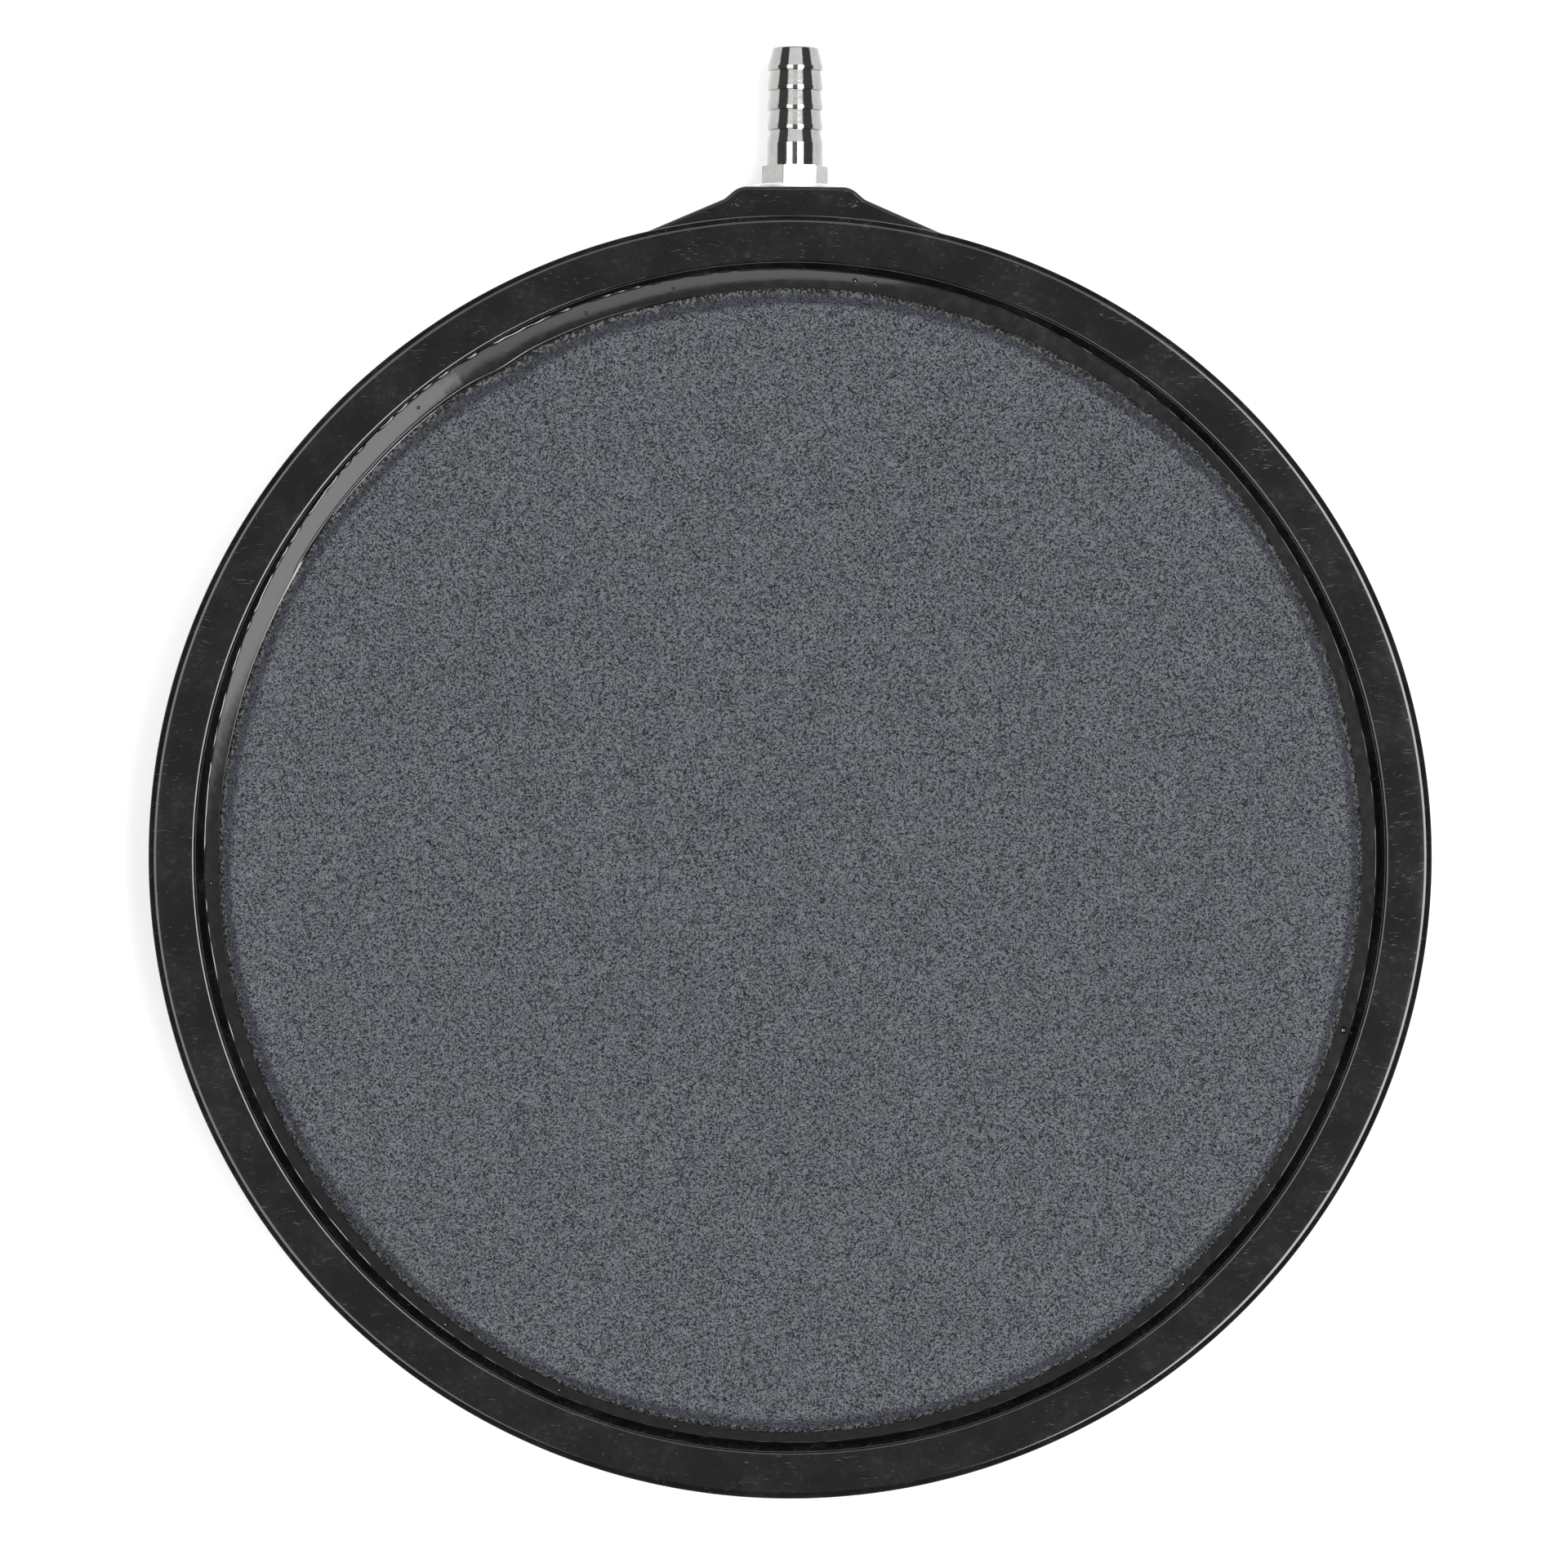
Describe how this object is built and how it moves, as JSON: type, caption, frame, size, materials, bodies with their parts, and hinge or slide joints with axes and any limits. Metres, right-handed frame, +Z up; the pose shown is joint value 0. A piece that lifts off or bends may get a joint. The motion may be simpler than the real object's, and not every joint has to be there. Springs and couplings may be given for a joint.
{
  "type": "pond air stone",
  "caption": "Round flat air diffuser for ponds and tanks: a porous disc bonded with resin into a shallow moulded pan, with a screwed-in hose barb on one side.",
  "frame": {"origin": "centre of the resting face, under the middle of the disc", "axes": "+Z up through the disc, +Y from the centre out along the hose barb"},
  "size_m": [0.2, 0.2274, 0.022],
  "materials": {
    "pan_plastic": "satin black moulded plastic, lightly scuffed",
    "porous_mineral": "fine-grained porous mineral, matt grey",
    "cured_resin": "glossy black cured resin",
    "plated_brass": "bright nickel plating on turned brass",
    "washer_plate": "bright plated steel",
    "ring_rubber": "matt black rubber"
  },
  "bodies": {
    "pan": {"pan": "pan_plastic", "porous_disc": "porous_mineral", "resin_seal": "cured_resin", "sealing_ring": "ring_rubber"},
    "washer": {"flat_washer": "washer_plate"},
    "barb": {"hose_barb": "plated_brass"}
  },
  "joints": [
    {"name": "fitting_travel", "type": "slide", "parent": "pan", "child": "washer", "axis": [0, 1, 0], "range_m": [0, 0.008]},
    {"name": "barb_unscrew", "type": "hinge", "parent": "washer", "child": "barb", "pos_m": [0, 0.105, 0.0075], "axis": [0, 1, 0], "range_deg": [0, 2890]}
  ],
  "couplings": [
    {"joint": "barb_unscrew", "follows": "fitting_travel", "rad_per_m": 6283.2}
  ]
}
